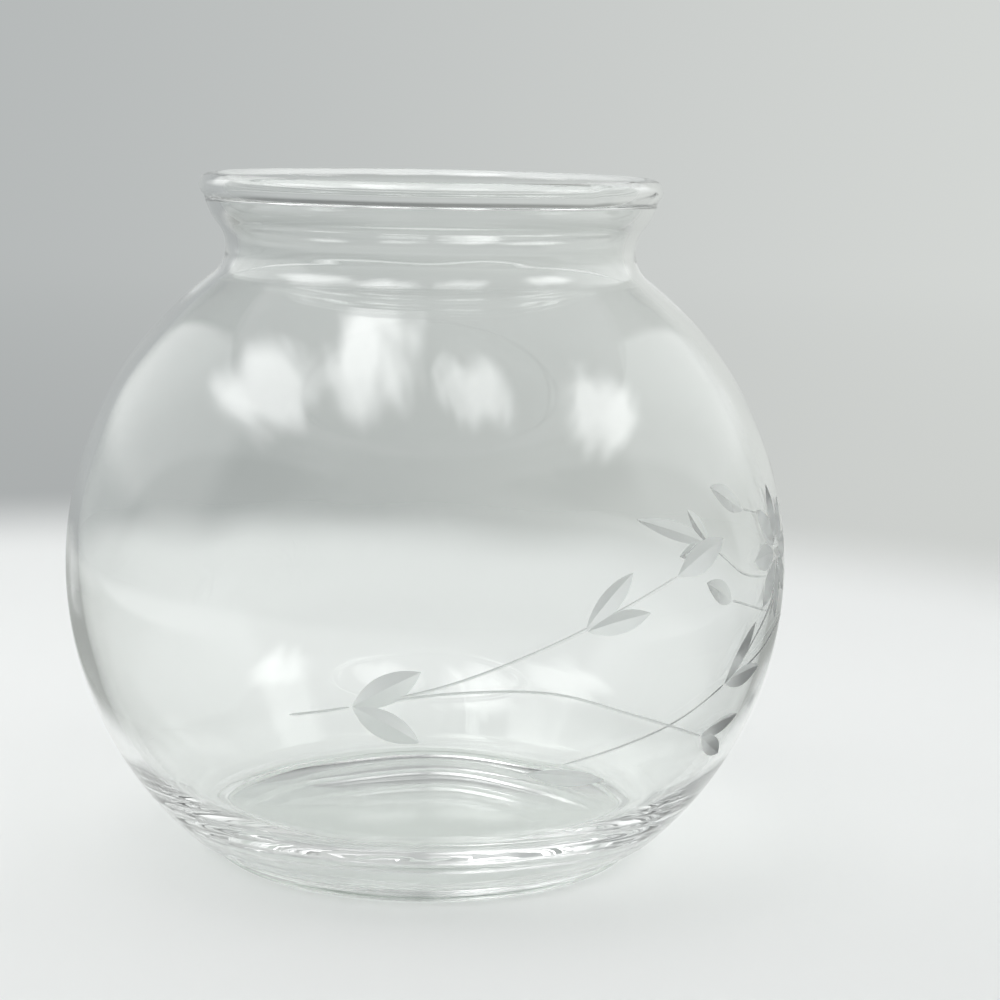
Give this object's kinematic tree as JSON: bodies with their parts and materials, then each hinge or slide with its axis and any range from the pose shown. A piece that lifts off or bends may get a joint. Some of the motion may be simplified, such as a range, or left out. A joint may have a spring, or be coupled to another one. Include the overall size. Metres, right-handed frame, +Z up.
{
  "type": "glass globe jar",
  "caption": "Round clear glass globe jar with a short waisted neck, rolled rim bead, low foot pad and cut leaf sprays; holds flowers, water or small things.",
  "frame": {"origin": "middle of the resting face, on the axis that the jar was turned on", "axes": "+Z up along the jar's axis, -Y towards the side that the picture shows"},
  "size_m": [0.104, 0.104, 0.0975],
  "materials": {
    "globe_glass": "clear fire-polished glass with a faint grey-green tint, ground matt inside the cut leaves",
    "rim_glass": "clear fire-polished glass",
    "foot_glass": "clear glass, polished, slightly worn where it stands"
  },
  "bodies": {
    "root": {"globe_body": "globe_glass", "rim_bead": "rim_glass", "foot_pad": "foot_glass"}
  },
  "joints": []
}
